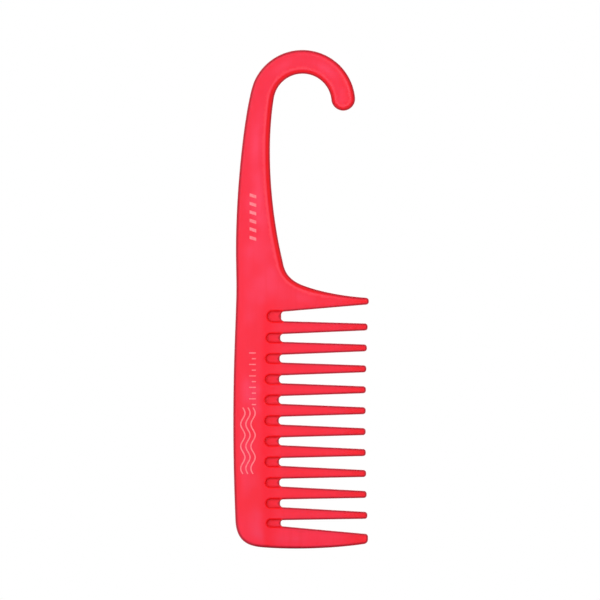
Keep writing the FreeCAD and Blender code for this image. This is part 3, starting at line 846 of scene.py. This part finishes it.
def plastic_material():
    """Translucent coral plastic with painted shade at rims, bevels, pocket walls and the crease, a painted
    highlight along the bevels' crest, and a redder tone towards the tooth tips.
    """
    material, tree, shader = nodes_of("translucent_coral_plastic")
    place = add_node(tree, "ShaderNodeTexCoord").outputs["Object"]
    axes = add_node(tree, "ShaderNodeSeparateXYZ", None, i0=place).outputs
    zones = add_node(tree, "ShaderNodeAttribute", {"attribute_name": "zones"}).outputs["Vector"]
    rim_shade, bevel_shade_and_highlight, ring = add_node(tree, "ShaderNodeSeparateXYZ", None, i0=zones).outputs
    core = add_node(tree, "ShaderNodeAttribute", {"attribute_name": "core"}).outputs["Fac"]

    along = spread(tree, axes[2], *FACE_BLEND_Z)
    at_foot = spread(tree, axes[2], *FOOT_BLEND_Z, 1.0, 0.0)
    colour = blend(tree, at_foot, blend(tree, along, FACE_LOW, FACE_HIGH), FACE_FOOT)
    clouds = spread(tree, noise(tree, place, CLOUD_SCALE, detail=2.0), *CLOUD_RANGE)
    colour = blend(tree, product(tree, clouds, core), colour, FACE_CORE)
    # painted shade along the crease where the face starts to taper
    reach = add_node(tree, "ShaderNodeVectorMath", {"operation": "DISTANCE"}, i0=place,
                     i1=(BOW_X * MM, 0.0, BOW_Z * MM)).outputs["Value"]
    starts, full, gone = [(BOW_X - CREASE_X - run) * MM for run in CREASE_SHADE_BLEND]
    behind = spread(tree, reach, full, starts, 1, 0)
    ahead = spread(tree, reach, gone, full)
    on_head = spread(tree, axes[2], *CREASE_SHADE_RUN_OUT_Z, CREASE_SHADE_SHARE, 0.0)
    crease_shade = product(tree, product(tree, behind, ahead), on_head)
    colour = blend(tree, crease_shade, colour, CREASE_SHADE_RED)
    stretched = add_node(tree, "ShaderNodeMapping", None, Vector=place, Scale=FLOW_STRETCH)
    streaks = noise(tree, stretched.outputs[0], FLOW_SCALE, detail=4.0, rough=0.6, distort=0.4)
    flow = spread(tree, streaks, *FLOW_RANGE, 0.0, FLOW_SHARE)
    colour = blend(tree, flow, colour, FACE_FLOW)
    toward_tip = spread(tree, axes[0], *TIP_BLEND_X, 0.0, TIP_SHARE)
    colour = blend(tree, toward_tip, colour, TIP_RED)
    # painted shade on the bevels: a deeper saturated red
    bevel_shade = product(tree, spread(tree, bevel_shade_and_highlight, *BEVEL_SHADE_RANGE), BEVEL_SHADE_SHARE)
    colour = blend(tree, bevel_shade, colour, BEVEL_SHADE_RED)
    # painted highlight along the bevels' crest
    colour = blend(tree, spread(tree, bevel_shade_and_highlight, *CREST_HIGHLIGHT_RANGE), colour, CREST_HIGHLIGHT_PINK)
    # painted rim shade: crimson, redder on pocket walls; partly deeper dye at the edge
    rim_shade_colour = blend(tree, ring, RIM_SHADE_CRIMSON, POCKET_SHADE_RED)
    rim_shade_share = product(tree, rim_shade, RIM_SHADE_SHARE)
    colour = blend(tree, rim_shade_share, colour, rim_shade_colour)
    tree.links.new(colour, shader.inputs["Base Color"])

    wear = noise(tree, place, WEAR_SCALE, detail=5.0, rough=0.6)
    roughness = spread(tree, wear, *WEAR_RANGE, *PLASTIC_ROUGHNESS)
    tree.links.new(roughness, shader.inputs["Roughness"])
    grain = noise(tree, place, GRAIN_SCALE)
    wave = noise(tree, place, WAVE_SCALE, detail=2.0)
    height = add_node(tree, "ShaderNodeMath", {"operation": "MULTIPLY_ADD"}, i0=wave, i1=WAVE_SHARE,
                      i2=grain)
    bump = add_node(tree, "ShaderNodeBump", None, Strength=PLASTIC_BUMP, Distance=GRAIN_HEIGHT,
                    Height=height.outputs[0])
    tree.links.new(bump.outputs[0], shader.inputs["Normal"])
    shader.inputs["Subsurface Weight"].default_value = SCATTER_WEIGHT
    shader.inputs["Subsurface Radius"].default_value = SCATTER_RADIUS
    shader.inputs["Subsurface Scale"].default_value = SCATTER_SCALE
    shader.inputs["Specular IOR Level"].default_value = PLASTIC_SPECULAR
    shader.inputs["IOR"].default_value = PLASTIC_IOR
    return material


def ink_material():
    """Thin pale ink that lets a little of the plastic's colour through."""
    material, tree, shader = nodes_of("pale_print_ink")
    place = add_node(tree, "ShaderNodeTexCoord").outputs["Object"]
    patches = noise(tree, place, INK_PATCH_SCALE, detail=4.0, rough=0.6)
    patchy = spread(tree, patches, *INK_PATCH_RANGE)
    colour = blend(tree, patchy, INK_PALE, INK_THIN)
    tree.links.new(colour, shader.inputs["Base Color"])
    tree.links.new(spread(tree, patchy, 0.0, 1.0, *INK_ROUGHNESS), shader.inputs["Roughness"])
    bump = add_node(tree, "ShaderNodeBump", None, Strength=INK_BUMP, Distance=INK_GRAIN_HEIGHT,
                    Height=noise(tree, place, INK_GRAIN_SCALE))
    tree.links.new(bump.outputs[0], shader.inputs["Normal"])
    return material


def placed(name, mesh, material):
    piece = bpy.data.objects.new(name, mesh)
    mesh.materials.append(material)
    bpy.context.scene.collection.objects.link(piece)
    return piece


def make_comb():
    outline, gaps = comb_outline()
    body_line = outline.points[outline.body]
    plastic = plastic_material()
    moulding = placed("comb_moulding", comb_mesh(outline, gaps), plastic)
    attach(moulding, "root")
    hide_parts(*[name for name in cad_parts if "print" not in name])
    ink = ink_material()
    marks = {
        "handle_print_bars": bar_ribbons(),
        "spine_print_ticks": tick_ribbons(),
        "spine_print_strands": strand_ribbons(),
    }
    for node, ribbons in marks.items():
        piece = placed(f"ink_{node}", film(node, ribbons, body_line), ink)
        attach(piece, "root")
        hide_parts(node)


def make_stage():
    """A pale floor under the comb's foot, a white surround and a soft light from the front left."""
    floor_z = cad_box[0].z - FLOOR_GAP
    mesh = bpy.data.meshes.new("floor")
    half = FLOOR_HALF
    mesh.from_pydata([(-half, -half, floor_z), (half, -half, floor_z),
                      (half, half, floor_z), (-half, half, floor_z)], [], [(0, 1, 2, 3)])
    material, tree, shader = nodes_of("floor_paper")
    place = add_node(tree, "ShaderNodeTexCoord").outputs["Object"]
    colour = blend(tree, noise(tree, place, FLOOR_PATCH_SCALE), FLOOR_LIGHT, FLOOR_SHADE)
    tree.links.new(colour, shader.inputs["Base Color"])
    shader.inputs["Roughness"].default_value = FLOOR_ROUGHNESS
    shader.inputs["Specular IOR Level"].default_value = FLOOR_SPECULAR
    placed("floor", mesh, material)

    world = bpy.context.scene.world or bpy.data.worlds.new("surround")
    bpy.context.scene.world = world
    world.use_nodes = True
    sky = world.node_tree.nodes["Background"]
    sky.inputs[0].default_value = (1.0, 1.0, 1.0, 1.0)
    sky.inputs[1].default_value = 1.0

    for name, place, watts, width in LAMPS:
        lamp = bpy.data.lights.new(name, "AREA")
        lamp.energy = watts
        lamp.size = width
        light = bpy.data.objects.new(name, lamp)
        light.location = place
        light.rotation_euler = (LOOK_AT - Vector(place)).to_track_quat("-Z", "Y").to_euler()
        bpy.context.scene.collection.objects.link(light)


def make_camera():
    """Looks straight along +Y at the printed face, without perspective."""
    lens = bpy.data.cameras.new("camera")
    lens.type = "ORTHO"
    lens.ortho_scale = VIEW_WIDTH
    camera = bpy.data.objects.new("camera", lens)
    camera.location = (VIEW_X, -VIEW_DISTANCE, VIEW_Z)
    camera.rotation_euler = (math.pi / 2, 0, 0)
    bpy.context.scene.collection.objects.link(camera)
    bpy.context.scene.camera = camera


make_comb()
make_stage()
make_camera()
bpy.context.scene.view_settings.view_transform = "Standard"
